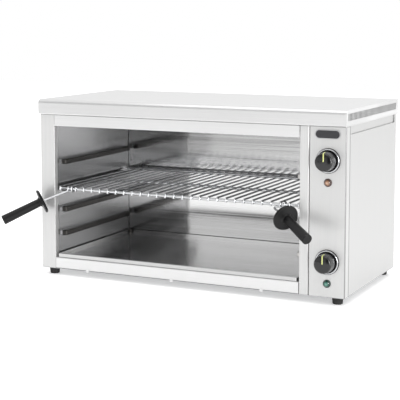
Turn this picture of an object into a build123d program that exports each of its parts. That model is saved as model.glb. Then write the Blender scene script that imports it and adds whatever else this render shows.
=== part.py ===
from build123d import *
import math
import os

# Salamander grill: a folded stainless steel cabinet with a heated cavity that is open at
# the front, a wire grid on pressed ribs, a crumb tray and a control compartment at the right.
# Millimetres. While modelling, x is 0 at the cabinet's middle, y is 0 at its front face and
# grows to the rear, and z is 0 under the base plate.

# Cabinet
BODY_W = 708.0
BODY_D = 338.0
BODY_H = 343.0
SHEET = 1.0
BEND = 1.5
SEAM = 0.3
FLANGE = 20.0
JAMB_DEPTH = 12.0
POST_LEFT_W = 35.5
POST_RIGHT_W = 19.5
CONTROL_W = 78.0
UPPER_FASCIA_H = 25.5
LOWER_FASCIA_H = 25.4
FASCIA_RETURN = 16.0
FASCIA_GAP = 0.7
FASCIA_TAB_W = 7.0
FASCIA_TAB_DROP = 2.2
FASCIA_TAB_PITCH = 206.0
CONTROL_RETURN = 22.0
PANEL_GAP = 1.4
COVER_GAP = 1.0
CHASSIS_GAP = 1.2

# Side cover with its long notch below the lid
NOTCH_H = 17.5
NOTCH_R = 4.0
NOTCH_FRONT = 4.0
NOTCH_REAR = 12.0

# Lid
LID_H = 32.5
LID_OVER_FRONT = 6.0
LID_OVER_REAR = 7.0
LID_OVER_SIDE = 1.4
LID_NOSE_R = 9.0
LID_RETURN = 18.0
LID_END_LET = 0.6
VENT_H = 14.6
VENT_BELOW_TOP = 7.4
VENT_W = 4.4
VENT_PITCH = 8.0
VENT_MARGIN = 12.0

# Cavity liners and their pressed ribs
RIB_Z = (76.0, 129.5, 176.0, 236.0)
RIB_H = 11.5
RIB_OUT = 15.0
RIB_END_R = 2.6
RIB_FRONT = 25.0
RIB_REAR_GAP = 20.0
RIB_EDGE_R = 2.0
RIB_COUNT_BELOW_GRID = 2
LINER_REAR_GAP = 1.6
BEAD_H = 7.0
BEAD_OUT = 2.0
BEAD_RISE = 72.0
BEAD_DROP = 90.0
BEAD_END_GAP = 60.0

# Heating
HEATER_R = 3.7
HEATER_DROP = 18.0
HEATER_LEG = 60.0
HEATER_Y = (95.0, 235.0)
HEATER_END_GAP = 25.0
HEATER_TAIL = 26.0
REFLECTOR_DROP = 5.0
REFLECTOR_SLOPE = 12.0
REFLECTOR_FRONT = 18.0
HANGER_X = (-215.0, -35.0, 140.0)
HANGER_FLANGE = 12.0
HANGER_EDGE = 6.0
TUBE_GAP = 0.2
BUSH_R = 7.0
BUSH_FLANGE_R = 10.0
BUSH_FLANGE_T = 3.0
BUSH_OUT = 12.0
STUD_R = 2.0
STUD_L = 12.0

# Crumb tray and its runners
TRAY_SIDE_GAP = 4.6
TRAY_FRONT = 1.0
TRAY_REAR_GAP = 4.0
TRAY_H = 7.0
TRAY_CORNER_R = 5.0
TRAY_HEM_R = 1.6
TRAY_GAP = 1.0
RUNNER_SHELF = 18.0

# Wire grid
WIRE_R = 2.0
BAR_R = 3.0
WELD = 0.4
WIRE_COUNT = 29
GRID_LEFT_GAP = 12.0
GRID_RIGHT_GAP = 4.0
GRID_BAR_Y = 8.0
GRID_REAR_GAP = 8.0
GRID_REAR_BAR = 14.0
GRID_TIP = 8.6
GRID_SEAT = 0.2

# Hooked grips: per side the wire gaps left of the eye, the bend's distance from the eye and the droop
ROD_R = 2.0
ROD_SLACK = 0.3
ROD_REACH = 60.0
ROD_BEND_R = 4.5
ROD_IN_GRIP = 60.0
HANDLE_SPLAY_DEG = 49.5
GRIP_BEND_DEG = 4.4
LEFT_EYE_GAP_COUNT = 1
LEFT_EYE_RUN = 13.4
LEFT_DROOP_DEG = 20.0
RIGHT_EYE_GAP_COUNT = 26
RIGHT_EYE_RUN = 28.7
RIGHT_DROOP_DEG = 13.6
GRIP_L = 94.0
GRIP_ROOT_R = 9.0
GRIP_END_R = 10.4
GRIP_EDGE_R = 1.5
GRIP_FLANGE_R = 27.2
GRIP_FLANGE_T = 5.8
GRIP_COLLAR_R = 11.5
GRIP_COLLAR_L = 5.0

# Knobs, bezels and shafts
KNOB_SHIFT = 1.5
KNOB_UPPER_DROP = 68.5
KNOB_LOWER_RISE = 71.5
KNOB_R = 20.0
KNOB_FRONT_R = 18.3
KNOB_L = 27.5
KNOB_EDGE_R = 3.2
KNOB_WALL = 2.6
KNOB_BOSS_R = 6.5
KNOB_GAP = 1.0
POINTER_W = 2.4
POINTER_T = 0.8
POINTER_IN = 1.0
POINTER_BACK = 12.0
BEZEL_R = 25.2
BEZEL_RING = 3.6
BEZEL_STEP = 0.8
BEZEL_H = 5.2
BEZEL_SEAT_T = 2.6
BEZEL_FLOOR = 1.0
BEZEL_EDGE_R = 1.5
SHAFT_R = 3.0
SHAFT_FLAT = 2.2
SHAFT_FIT = 0.05
BUSHING_R = 5.0
BUSHING_GAP = 0.2
NUT_AF = 14.0
NUT_T = 2.4
CONTROL_BODY = 44.0
CONTROL_BODY_D = 30.0
CONTROL_PLATE_T = 2.0
BLADE_W = 6.3
BLADE_T = 0.8
BLADE_L = 8.0
BLADE_OFF = 11.0

# Pilot lamps
LAMP_BELOW_KNOB = 43.5
LENS_R = 8.2
LENS_H = 6.5
LENS_RIM = 1.6
LENS_LIP = 0.8
LAMP_BODY_R = 5.8
LAMP_BODY_L = 26.0
LAMP_BLADE_OFF = 2.7
LAMP_FIT = 0.2

# Bare badge plate
BADGE_W = 53.0
BADGE_H = 18.5
BADGE_T = 1.2
BADGE_DROP = 16.0
BADGE_RIM = 1.5
BADGE_DISH = 0.4

# Feet, fasteners and the mains inlet
FOOT_H = 15.0
FOOT_TOP_R = 12.0
FOOT_SOLE_R = 10.4
FOOT_INSET_X = 21.0
FOOT_INSET_Y = 19.0
FOOT_EDGE_R = 1.0
FOOT_WELL_R = 4.5
FOOT_WELL_H = 8.0
SCREW_R = 2.0
SCREW_GAP = 0.2
SCREW_HEAD_R = 3.8
SCREW_HEAD_H = 2.2
SCREW_TAIL = 5.0
RECESS_W = 0.9
RECESS_L = 4.2
RECESS_DEPTH = 1.3
REAR_SCREW_EDGE = 60.0
LID_SCREW_EDGE = 69.0
SLOT_COUNT = 7
SLOT_W = 3.0
SLOT_L = 46.0
SLOT_PITCH = 9.0
REAR_SLOT_DROP = 143.0
BASE_SLOT_REAR = 148.0
GLAND_R = 8.0
GLAND_BORE_R = 4.5
GLAND_FLANGE_R = 12.0
GLAND_FLANGE_T = 5.0
GLAND_NOSE_R = 9.5
GLAND_NOSE_L = 16.0
GLAND_INSIDE = 12.0
GLAND_NUT_T = 4.0
GLAND_Z = 42.0
BLOCK_L = 54.0
BLOCK_W = 20.0
BLOCK_H = 22.0
BLOCK_WAYS = 5
BLOCK_SCREW_OFF = 5.0
BLOCK_BORE_Z = 7.3
BLOCK_REAR_GAP = 70.0
LEAD_R = 1.4
LEAD_BEND_R = 6.0
LEAD_IN_BLOCK = 4.0
LEAD_BEHIND_BLADE = 24.0
LEAD_SIDE = 14.5

# Planes and middles that follow from the sizes above
LEFT = -BODY_W / 2
RIGHT = BODY_W / 2
OPEN_LEFT = LEFT + POST_LEFT_W
PANEL_LEFT = RIGHT - CONTROL_W
OPEN_RIGHT = PANEL_LEFT - POST_RIGHT_W
LINER_LEFT = OPEN_LEFT - SHEET
LINER_RIGHT = OPEN_RIGHT + SHEET
REAR_FACE = BODY_D - SHEET
CHASSIS_X = RIGHT - SHEET - CHASSIS_GAP
LID_TOP = BODY_H + LID_H
FASCIA_LOW = BODY_H - UPPER_FASCIA_H
COMPARTMENT_X = (LINER_RIGHT + SHEET + CHASSIS_X) / 2
KNOB_X = PANEL_LEFT + CONTROL_W / 2 + KNOB_SHIFT
KNOB_Z = (BODY_H - KNOB_UPPER_DROP, KNOB_LOWER_RISE)

nodes = {}


def block(x0, x1, y0, y1, z0, z1):
    """Straight bar of sheet or stock between two corners."""
    return Pos(x0, y0, z0) * Box(x1 - x0, y1 - y0, z1 - z0, align=Align.MIN)


def folded(plane, radius, *points):
    """Cross-section of a bent sheet that follows its middle line."""
    return plane * trace(FilletPolyline(*points, radius=radius), line_width=SHEET)


def rod(x, y, z, radius, length, axis=Axis.Y):
    """Round bar or drill from a point along an axis."""
    turn = {Axis.X: Rot(0, 90, 0), Axis.Y: Rot(-90, 0, 0), Axis.Z: Rot(0, 0, 0)}[axis]
    return Pos(x, y, z) * turn * Cylinder(radius, length, align=(Align.CENTER, Align.CENTER, Align.MIN))


def turned(plane, *points):
    """Solid of revolution about the plane's own y axis, from half-profile points (radius, height)."""
    return revolve(plane * make_face(Polyline(*points, close=True)), Axis(plane.origin, plane.y_dir), 360)


# Base plate: flat sheet under the whole cabinet, drilled for the feet and slotted below the controls
foot_spots = [
    (side * (BODY_W / 2 - FOOT_INSET_X), y)
    for side in (-1, 1)
    for y in (FOOT_INSET_Y, BODY_D - FOOT_INSET_Y)
]
base_plate = block(LEFT, RIGHT, 0, BODY_D, 0, SHEET)
base_plate -= [rod(x, y, -SHEET, SCREW_R + SCREW_GAP, 3 * SHEET, Axis.Z) for x, y in foot_spots]
cooling_slots = Sketch() + GridLocations(0, SLOT_PITCH, 1, SLOT_COUNT) * SlotOverall(SLOT_L, SLOT_W)
base_plate -= extrude(Pos(COMPARTMENT_X, BODY_D - BASE_SLOT_REAR, -SHEET) * cooling_slots, 3 * SHEET)
nodes["base_plate"] = base_plate

# Left side panel: one sheet that is also the left front post, its inner jamb and the rear flange
rear_flange_y = REAR_FACE - SHEET / 2
wall_h = BODY_H - SHEET
left_section = folded(
    Plane.XY.offset(SHEET),
    BEND,
    (OPEN_LEFT - SHEET / 2, JAMB_DEPTH),
    (OPEN_LEFT - SHEET / 2, SHEET / 2),
    (LEFT + SHEET / 2, SHEET / 2),
    (LEFT + SHEET / 2, rear_flange_y),
    (LEFT + FLANGE, rear_flange_y),
)
lid_screw_inset = FLANGE / 2 + SHEET
lid_screw_y = (LID_SCREW_EDGE, BODY_D - LID_SCREW_EDGE)
lid_screw_spots = [(side * (BODY_W / 2 - lid_screw_inset), y) for side in (-1, 1) for y in lid_screw_y]
lid_holes = [
    rod(x, y, BODY_H - 2 * SHEET, SCREW_R + SCREW_GAP, 4 * SHEET, Axis.Z) for x, y in lid_screw_spots
]
rear_screw_z = (REAR_SCREW_EDGE, BODY_H / 2, BODY_H - REAR_SCREW_EDGE)
rear_screw_spots = [(side * (BODY_W / 2 - FLANGE / 2), z) for side in (-1, 1) for z in rear_screw_z]
rear_holes = [
    rod(x, REAR_FACE - 2 * SHEET, z, SCREW_R + SCREW_GAP, 4 * SHEET) for x, z in rear_screw_spots
]
side_panel_left = extrude(left_section, wall_h)
side_panel_left += block(
    LEFT + SHEET / 2, LEFT + FLANGE, FLANGE, BODY_D - FLANGE, BODY_H - SHEET, BODY_H
)
side_panel_left += block(
    LEFT + SHEET / 2, LEFT + FLANGE, FLANGE * 2, BODY_D - FLANGE * 2, SHEET, 2 * SHEET
)
nodes["side_panel_left"] = side_panel_left - lid_holes - rear_holes

# Right chassis: inner sheet that carries the control compartment, seen only in the cover's notch
chassis_mid = CHASSIS_X - SHEET / 2
chassis_front = 1.5 * SHEET + SEAM
chassis_section = folded(
    Plane.XY.offset(SHEET),
    BEND,
    (RIGHT - FLANGE, rear_flange_y),
    (chassis_mid, rear_flange_y),
    (chassis_mid, chassis_front),
    (chassis_mid - JAMB_DEPTH, chassis_front),
)
chassis_right = extrude(chassis_section, wall_h)
chassis_right += block(
    RIGHT - FLANGE, chassis_mid, FLANGE, BODY_D - FLANGE, BODY_H - SHEET, BODY_H
)
chassis_right += block(
    RIGHT - FLANGE, chassis_mid, FLANGE * 2, BODY_D - FLANGE * 2, SHEET, 2 * SHEET
)
nodes["chassis_right"] = chassis_right - lid_holes - rear_holes

# Right side cover: flat skin over the chassis with a long round-cornered notch along its top
cover_front = CONTROL_RETURN + COVER_GAP
cover_face = Pos((cover_front + REAR_FACE) / 2, (SHEET + BODY_H) / 2) * Rectangle(
    REAR_FACE - cover_front, BODY_H - SHEET
)
notch_front = cover_front + NOTCH_FRONT
notch_rear = REAR_FACE - NOTCH_REAR
notch = Pos((notch_front + notch_rear) / 2, BODY_H) * RectangleRounded(
    notch_rear - notch_front, 2 * NOTCH_H, NOTCH_R
)
nodes["side_cover_right"] = extrude(Plane.YZ.offset(RIGHT - SHEET) * (cover_face - notch), SHEET)

# Control panel: front sheet with a side return, drilled for two spindles and two lamps
lamp_z = [z - LAMP_BELOW_KNOB for z in KNOB_Z]
control_section = folded(
    Plane.XY.offset(SHEET),
    BEND,
    (PANEL_LEFT + PANEL_GAP + SHEET / 2, JAMB_DEPTH),
    (PANEL_LEFT + PANEL_GAP + SHEET / 2, SHEET / 2),
    (RIGHT - SHEET / 2, SHEET / 2),
    (RIGHT - SHEET / 2, CONTROL_RETURN),
)
control_panel = extrude(control_section, wall_h)
control_panel -= [rod(KNOB_X, -SHEET, z, BUSHING_R + BUSHING_GAP, 3 * SHEET) for z in KNOB_Z]
control_panel -= [rod(KNOB_X, -SHEET, z, LAMP_BODY_R + LAMP_FIT, 3 * SHEET) for z in lamp_z]
nodes["control_panel"] = control_panel

# Right post: channel between the cavity's mouth and the control panel
post_section = folded(
    Plane.XY.offset(SHEET),
    BEND,
    (OPEN_RIGHT + SHEET / 2, JAMB_DEPTH),
    (OPEN_RIGHT + SHEET / 2, SHEET / 2),
    (PANEL_LEFT - SHEET / 2, SHEET / 2),
    (PANEL_LEFT - SHEET / 2, JAMB_DEPTH),
)
nodes["right_post"] = extrude(post_section, wall_h)

# Upper and lower fascias: channels between the posts, the lower one with three locating tabs
fascia_left = OPEN_LEFT + FASCIA_GAP
fascia_w = OPEN_RIGHT - OPEN_LEFT - 2 * FASCIA_GAP
upper_section = folded(
    Plane.YZ.offset(fascia_left),
    BEND,
    (FASCIA_RETURN, BODY_H - SHEET / 2),
    (SHEET / 2, BODY_H - SHEET / 2),
    (SHEET / 2, FASCIA_LOW + SHEET / 2),
    (FASCIA_RETURN, FASCIA_LOW + SHEET / 2),
)
nodes["upper_fascia"] = extrude(upper_section, fascia_w)
lower_section = folded(
    Plane.YZ.offset(fascia_left),
    BEND,
    (FASCIA_RETURN, 1.5 * SHEET),
    (SHEET / 2, 1.5 * SHEET),
    (SHEET / 2, LOWER_FASCIA_H - SHEET / 2),
    (FASCIA_RETURN, LOWER_FASCIA_H - SHEET / 2),
)
lower_fascia = extrude(lower_section, fascia_w)
fascia_mid = fascia_left + fascia_w / 2
for step in (-1, 0, 1):
    tab_x = fascia_mid + step * FASCIA_TAB_PITCH
    lower_fascia += block(
        tab_x - FASCIA_TAB_W / 2, tab_x + FASCIA_TAB_W / 2, -SHEET, 0, -FASCIA_TAB_DROP, 3 * SHEET + BEND
    )
nodes["lower_fascia"] = lower_fascia

# Rear panel: single sheet that closes the back, with two stiffening beads pressed into the cavity
rear_panel = block(LEFT, RIGHT, REAR_FACE, BODY_D, SHEET, BODY_H)
bead_l = OPEN_RIGHT - OPEN_LEFT - 2 * BEAD_END_GAP
bead_x = (OPEN_LEFT + OPEN_RIGHT) / 2
for bead_z in (BEAD_RISE, BODY_H - BEAD_DROP):
    bead_spot = Plane((bead_x, REAR_FACE, bead_z), x_dir=(1, 0, 0), z_dir=(0, -1, 0))
    rear_panel += extrude(bead_spot * SlotOverall(bead_l, BEAD_H), BEAD_OUT)
    bead_back = bead_spot.offset(BEAD_OUT - SHEET)
    rear_panel -= extrude(bead_back * SlotOverall(bead_l - 2 * SHEET, BEAD_H - 2 * SHEET), -2 * BEAD_OUT)
rear_slot_spot = (COMPARTMENT_X, BODY_D + SHEET, BODY_H - REAR_SLOT_DROP)
rear_slot_plane = Plane(rear_slot_spot, x_dir=(1, 0, 0), z_dir=(0, -1, 0))
rear_panel -= extrude(rear_slot_plane * cooling_slots, 3 * SHEET)
rear_panel -= rod(COMPARTMENT_X, REAR_FACE - SHEET, GLAND_Z, GLAND_R + SCREW_GAP, 3 * SHEET)
nodes["rear_panel"] = rear_panel - rear_holes

# Cavity liners: side walls with four pressed ribs each, hollow behind, that carry the grid
rib_l = REAR_FACE - RIB_REAR_GAP - RIB_FRONT
rib_y = RIB_FRONT + rib_l / 2
liner_top = BODY_H - SHEET
liner_front = SHEET + BEND + SEAM
liner_rear = REAR_FACE - LINER_REAR_GAP


def ribbed_liner(face_x, inward):
    """Liner whose cavity face is at face_x, with its ribs pressed towards inward, +1 or -1."""
    back_x = face_x - inward * SHEET
    sheet = block(min(face_x, back_x), max(face_x, back_x), liner_front, liner_rear, SHEET, liner_top)
    for z in RIB_Z:
        front = Plane((face_x, rib_y, z), x_dir=(0, 1, 0), z_dir=(inward, 0, 0))
        rib = extrude(front * RectangleRounded(rib_l, RIB_H, RIB_END_R), RIB_OUT)
        crest = rib.faces().sort_by(Axis.X)[-1 if inward > 0 else 0]
        sheet += fillet(crest.edges(), RIB_EDGE_R)
        hollow = RectangleRounded(rib_l - 2 * SHEET, RIB_H - 2 * SHEET, RIB_END_R - SHEET)
        sheet -= extrude(front.offset(-2 * SHEET) * hollow, RIB_OUT + SHEET)
    return sheet


bush_spots = [(y + leg * HEATER_LEG / 2, BODY_H - HEATER_DROP) for y in HEATER_Y for leg in (-1, 1)]
bush_holes = [
    rod(LINER_RIGHT - SHEET, y, z, BUSH_R + SCREW_GAP, 4 * SHEET, Axis.X) for y, z in bush_spots
]
nodes["liner_left"] = ribbed_liner(LINER_LEFT, 1)
nodes["liner_right"] = ribbed_liner(LINER_RIGHT, -1) - bush_holes

# Reflector: folded roof above the heaters, flanged down against both liners
roof_z = BODY_H - REFLECTOR_DROP
roof_low = roof_z - REFLECTOR_SLOPE
reflector_section = folded(
    Plane.YZ.offset(LINER_LEFT),
    BEND,
    (REFLECTOR_FRONT, roof_low),
    (REFLECTOR_FRONT + REFLECTOR_SLOPE, roof_z),
    (REAR_FACE - REFLECTOR_SLOPE - SHEET, roof_z),
    (REAR_FACE - SHEET, roof_low),
)
reflector = extrude(reflector_section, LINER_RIGHT - LINER_LEFT)
for end_x in (LINER_LEFT, LINER_RIGHT - SHEET):
    reflector += block(
        end_x,
        end_x + SHEET,
        REFLECTOR_FRONT + REFLECTOR_SLOPE,
        REAR_FACE - REFLECTOR_SLOPE - SHEET,
        BODY_H - HEATER_DROP + BUSH_FLANGE_R + SHEET,
        roof_z,
    )
nodes["reflector"] = reflector

# Heaters: two tubular hairpins, each leaving the cavity through bushes in the right liner
heater_z = BODY_H - HEATER_DROP
heater_tip = LINER_LEFT + HEATER_END_GAP
heater_out = LINER_RIGHT + SHEET + HEATER_TAIL
bend_x = heater_tip + HEATER_LEG / 2
studs = []
for name, y in zip(("heater_front", "heater_rear"), HEATER_Y):
    near = y - HEATER_LEG / 2
    far = y + HEATER_LEG / 2
    legs = [rod(bend_x, leg, heater_z, HEATER_R, heater_out - bend_x, Axis.X) for leg in (near, far)]
    crook = revolve(
        Plane((bend_x, near, heater_z), x_dir=(0, 1, 0), z_dir=(1, 0, 0)) * Circle(HEATER_R),
        Axis((bend_x, y, heater_z), (0, 0, 1)),
        -180,
    )
    nodes[name] = legs[0] + crook + legs[1]
    studs += [rod(heater_out, leg, heater_z, STUD_R, STUD_L, Axis.X) for leg in (near, far)]
nodes["heater_studs"] = Compound(children=studs)
bushes = []
for y, z in bush_spots:
    bush = rod(LINER_RIGHT - BUSH_FLANGE_T, y, z, BUSH_FLANGE_R, BUSH_FLANGE_T, Axis.X)
    bush += rod(LINER_RIGHT - BUSH_FLANGE_T, y, z, BUSH_R, BUSH_FLANGE_T + SHEET + BUSH_OUT, Axis.X)
    bore_l = BUSH_FLANGE_T + SHEET + BUSH_OUT
    bushes.append(bush - rod(LINER_RIGHT - BUSH_FLANGE_T, y, z, HEATER_R + SHAFT_FIT, bore_l, Axis.X))
nodes["heater_bushes"] = Compound(children=bushes)

# Heater hangers: bent strips under the reflector with a hole for each heater leg
hangers = []
hanger_y0 = bush_spots[0][0] - HEATER_R - HANGER_EDGE
hanger_y1 = bush_spots[-1][0] + HEATER_R + HANGER_EDGE
hanger_low = heater_z - HEATER_R - HANGER_EDGE / 2
hanger_top = roof_z - SHEET / 2
for x in HANGER_X:
    hanger = block(x, x + SHEET, hanger_y0, hanger_y1, hanger_low, hanger_top)
    hanger += block(x, x + HANGER_FLANGE, hanger_y0, hanger_y1, hanger_top - SHEET, hanger_top)
    holes = [rod(x - SHEET, y, z, HEATER_R + TUBE_GAP, 3 * SHEET, Axis.X) for y, z in bush_spots]
    hangers.append(hanger - holes)
nodes["heater_hangers"] = Compound(children=hangers)

# Crumb tray: shallow folded pan with a hemmed front edge, on two angle runners
tray_z = LOWER_FASCIA_H + TRAY_GAP
tray_left = OPEN_LEFT + TRAY_SIDE_GAP
tray_right = OPEN_RIGHT - TRAY_SIDE_GAP
tray_rear = REAR_FACE - TRAY_REAR_GAP
tray_w = tray_right - tray_left
tray_d = tray_rear - TRAY_FRONT
tray_spot = Pos((tray_left + tray_right) / 2, (TRAY_FRONT + tray_rear) / 2, tray_z)
crumb_tray = extrude(tray_spot * RectangleRounded(tray_w, tray_d, TRAY_CORNER_R), TRAY_H)
tray_inside = RectangleRounded(tray_w - 2 * SHEET, tray_d - 2 * SHEET, TRAY_CORNER_R - SHEET)
crumb_tray -= extrude(tray_spot * Pos(0, 0, SHEET) * tray_inside, TRAY_H)
hem_y = TRAY_FRONT + TRAY_HEM_R
crumb_tray += rod(
    tray_left + TRAY_CORNER_R, hem_y, tray_z + TRAY_H, TRAY_HEM_R, tray_w - 2 * TRAY_CORNER_R, Axis.X
)
nodes["crumb_tray"] = crumb_tray
for name, face_x, inward in (("tray_runner_left", LINER_LEFT, 1), ("tray_runner_right", LINER_RIGHT, -1)):
    runner_section = folded(
        Plane.XZ.offset(-FASCIA_RETURN - SEAM),
        BEND,
        (face_x + inward * SHEET / 2, SHEET),
        (face_x + inward * SHEET / 2, tray_z - SHEET / 2),
        (face_x + inward * RUNNER_SHELF, tray_z - SHEET / 2),
    )
    nodes[name] = extrude(runner_section, -(REAR_FACE - FASCIA_RETURN - 2 * SEAM))

# Wire grid: long wires bent down over the front bar and welded, a rear stop bar above them
wire_z = RIB_Z[RIB_COUNT_BELOW_GRID] + RIB_H / 2 + GRID_SEAT + WIRE_R
bar_z = wire_z - WIRE_R - BAR_R + WELD
wire_left = LINER_LEFT + GRID_LEFT_GAP
wire_right = LINER_RIGHT - GRID_RIGHT_GAP
wire_pitch = (wire_right - wire_left) / (WIRE_COUNT - 1)
wire_rear = REAR_FACE - GRID_REAR_GAP
tip_y = GRID_BAR_Y - BAR_R - WIRE_R + WELD
tip_bend = WIRE_R + BAR_R - WELD
wire_path = FilletPolyline(
    (0, tip_y, wire_z - GRID_TIP), (0, tip_y, wire_z), (0, wire_rear, wire_z), radius=tip_bend
)
wire = sweep(Plane((0, tip_y, wire_z - GRID_TIP)) * Circle(WIRE_R), wire_path)
bars = [rod(wire_left - WIRE_R, GRID_BAR_Y, bar_z, BAR_R, wire_right - wire_left + 2 * WIRE_R, Axis.X)]
rear_bar_z = wire_z + WIRE_R + BAR_R - WELD
rear_bar_y = wire_rear - GRID_REAR_BAR
bars.append(
    rod(wire_left - WIRE_R, rear_bar_y, rear_bar_z, BAR_R, wire_right - wire_left + 2 * WIRE_R, Axis.X)
)
mid_l = wire_right - wire_left - 2 * wire_pitch + 2 * WIRE_R
bars.append(rod(wire_left + wire_pitch - WIRE_R, rib_y, bar_z, BAR_R, mid_l, Axis.X))
wires = [Pos(wire_left + wire_pitch * n, 0, 0) * wire for n in range(WIRE_COUNT)]
nodes["wire_grid"] = bars[0].fuse(*bars[1:], *wires)


def handle(side, eye_gap, eye_run, droop):
    """Hooked rod and its grip: an eye round the front bar, a run below the bar, then outwards and down."""
    eye_r = BAR_R + ROD_R + ROD_SLACK
    eye_x = wire_left + wire_pitch * eye_gap + wire_pitch / 2
    low_z = bar_z - eye_r
    bend = Vector(eye_x - eye_run, GRID_BAR_Y, low_z)
    splay = math.radians(HANDLE_SPLAY_DEG)
    aims = []
    for angle in (droop, droop + GRIP_BEND_DEG):
        dip = math.radians(angle)
        aims.append(
            Vector(side * math.sin(splay) * math.cos(dip), -math.cos(splay) * math.cos(dip), -math.sin(dip))
        )
    flange = bend + aims[0] * ROD_REACH
    buried = flange + aims[1] * ROD_IN_GRIP
    path = FilletPolyline((eye_x, GRID_BAR_Y, low_z), bend, flange, buried, radius=ROD_BEND_R)
    start = Plane((eye_x, GRID_BAR_Y, low_z), x_dir=(0, 1, 0), z_dir=(-1, 0, 0))
    shank = sweep(start * Circle(ROD_R), path)
    eye = Pos(eye_x, GRID_BAR_Y, bar_z) * Rot(0, 90, 0) * Torus(eye_r, ROD_R)
    across = Vector(aims[1].Y, -aims[1].X, 0).normalized()
    axis_plane = Plane(flange, x_dir=across, z_dir=across.cross(aims[1]))
    grip = revolve(axis_plane * grip_half, Axis(flange, aims[1]), 360)
    return shank + eye, grip


# Grips: moulded handles with a round guard flange, one profile turned about the rod
grip_back = GRIP_FLANGE_T / 2
bore_r = ROD_R + ROD_SLACK
grip_half = make_face(
    Polyline(
        (bore_r, -grip_back),
        (GRIP_FLANGE_R - grip_back, -grip_back),
        (GRIP_FLANGE_R, 0),
        (GRIP_FLANGE_R - grip_back / 2, grip_back),
        (GRIP_COLLAR_R, 1.5 * grip_back),
        (GRIP_ROOT_R, grip_back + GRIP_COLLAR_L),
        (GRIP_END_R, GRIP_L - GRIP_EDGE_R),
        (GRIP_END_R - GRIP_EDGE_R, GRIP_L),
        (0, GRIP_L),
        (0, ROD_IN_GRIP + ROD_SLACK),
        (bore_r, ROD_IN_GRIP + ROD_SLACK),
        close=True,
    )
)
nodes["handle_rod_left"], nodes["grip_left"] = handle(
    -1, LEFT_EYE_GAP_COUNT, LEFT_EYE_RUN, LEFT_DROOP_DEG
)
nodes["handle_rod_right"], nodes["grip_right"] = handle(
    1, RIGHT_EYE_GAP_COUNT, RIGHT_EYE_RUN, RIGHT_DROOP_DEG
)

# Knobs: hollow moulded caps with a D bore and a flush pointer that wraps over the rim
knob_back = -BEZEL_FLOOR - KNOB_GAP
knob_front = knob_back - KNOB_L
shaft_front = knob_front + KNOB_WALL + SEAM
shaft_rear = SHEET + CONTROL_PLATE_T + SEAM


def knob_shell(inset):
    """Knob's outer form about the y axis, moved in by inset from its face and side."""
    half = make_face(
        Polyline(
            (0, knob_back), (KNOB_R - inset, knob_back), (KNOB_FRONT_R - inset, knob_front + inset),
            (0, knob_front + inset), close=True,
        )
    )
    rim = half.vertices().filter_by(lambda v: v.X > SHAFT_R).sort_by(Axis.Y)[0]
    return revolve(fillet(rim, KNOB_EDGE_R), Axis.Y, 360)


def d_shaft(radius, flat, y0, y1):
    """Round shaft along y with a flat on its lower side."""
    return rod(0, y0, 0, radius, y1 - y0) - block(-radius, radius, y0, y1, -radius, -flat)


def nut(across_flats, bore, thickness):
    """Hexagon nut along y, its rear face at y = 0."""
    hexagon = RegularPolygon(across_flats / 2, 6, major_radius=False) - Circle(bore)
    return extrude(Plane.XZ * hexagon, thickness)


shell = knob_shell(0)
skin = shell - knob_shell(POINTER_T)
pointer = skin & block(
    -POINTER_W / 2, POINTER_W / 2, knob_front, knob_front + POINTER_BACK, POINTER_IN, KNOB_R
)
hollow_r = KNOB_R - KNOB_WALL
hollow_front = knob_front + 2 * KNOB_WALL
hollow = turned(
    Plane.XY, (KNOB_BOSS_R, hollow_front), (KNOB_FRONT_R - KNOB_WALL - KNOB_EDGE_R, hollow_front),
    (hollow_r, knob_back), (KNOB_BOSS_R, knob_back),
)
nut_front = -BEZEL_FLOOR - NUT_T
boss_back = nut_front - KNOB_GAP
knob = shell - pointer - hollow - rod(0, boss_back, 0, KNOB_BOSS_R, knob_back - boss_back)
knob -= d_shaft(SHAFT_R + SHAFT_FIT, SHAFT_FLAT + SHAFT_FIT, shaft_front - SEAM, boss_back)
shaft = d_shaft(SHAFT_R, SHAFT_FLAT, shaft_front, boss_back)
shaft += rod(0, boss_back, 0, SHAFT_R, shaft_rear - boss_back)

# Bezels: half-round plated rings on black moulded seats, which the spindle nuts clamp on the panel
ring_out = BEZEL_R - BEZEL_STEP
ring_in = ring_out - BEZEL_RING
ring_half = make_face(
    Polyline(
        (ring_in, -BEZEL_SEAT_T), (ring_out, -BEZEL_SEAT_T), (ring_out, -BEZEL_H), (ring_in, -BEZEL_H),
        close=True,
    )
)
bezel = revolve(fillet(ring_half.vertices().group_by(Axis.Y)[0], BEZEL_EDGE_R), Axis.Y, 360)
bezel_seat = turned(
    Plane.XY, (BUSHING_R + BUSHING_GAP, 0), (BEZEL_R, 0), (BEZEL_R, -BEZEL_SEAT_T), (ring_in, -BEZEL_SEAT_T),
    (ring_in, -BEZEL_FLOOR), (BUSHING_R + BUSHING_GAP, -BEZEL_FLOOR),
)

# Spindle regulators: moulded bodies behind the panel with a bush, two blades and a clamping nut
case_front = SHEET + CONTROL_PLATE_T
case_plane = Plane((0, SHEET, 0), x_dir=(1, 0, 0), z_dir=(0, 1, 0))
plate = extrude(case_plane * RectangleRounded(CONTROL_BODY, CONTROL_BODY, BUSHING_R), CONTROL_PLATE_T)
bush = rod(0, nut_front, 0, BUSHING_R, case_front - nut_front)
bush_bore = rod(0, nut_front, 0, SHAFT_R + SHAFT_FIT, shaft_rear + SEAM - nut_front)
square_case = extrude(
    case_plane.offset(CONTROL_PLATE_T) * RectangleRounded(CONTROL_BODY - BLADE_L, CONTROL_BODY, BUSHING_R),
    CONTROL_BODY_D,
)
round_case = rod(0, case_front, 0, CONTROL_BODY / 2, CONTROL_BODY_D)
case_rear = case_front + CONTROL_BODY_D
blades = [
    block(-BLADE_W / 2, BLADE_W / 2, case_rear - SEAM, case_rear + BLADE_L, z, z + BLADE_T)
    for z in (-BLADE_OFF, BLADE_OFF)
]
cases = {"thermostat": square_case, "timer": round_case}
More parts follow.
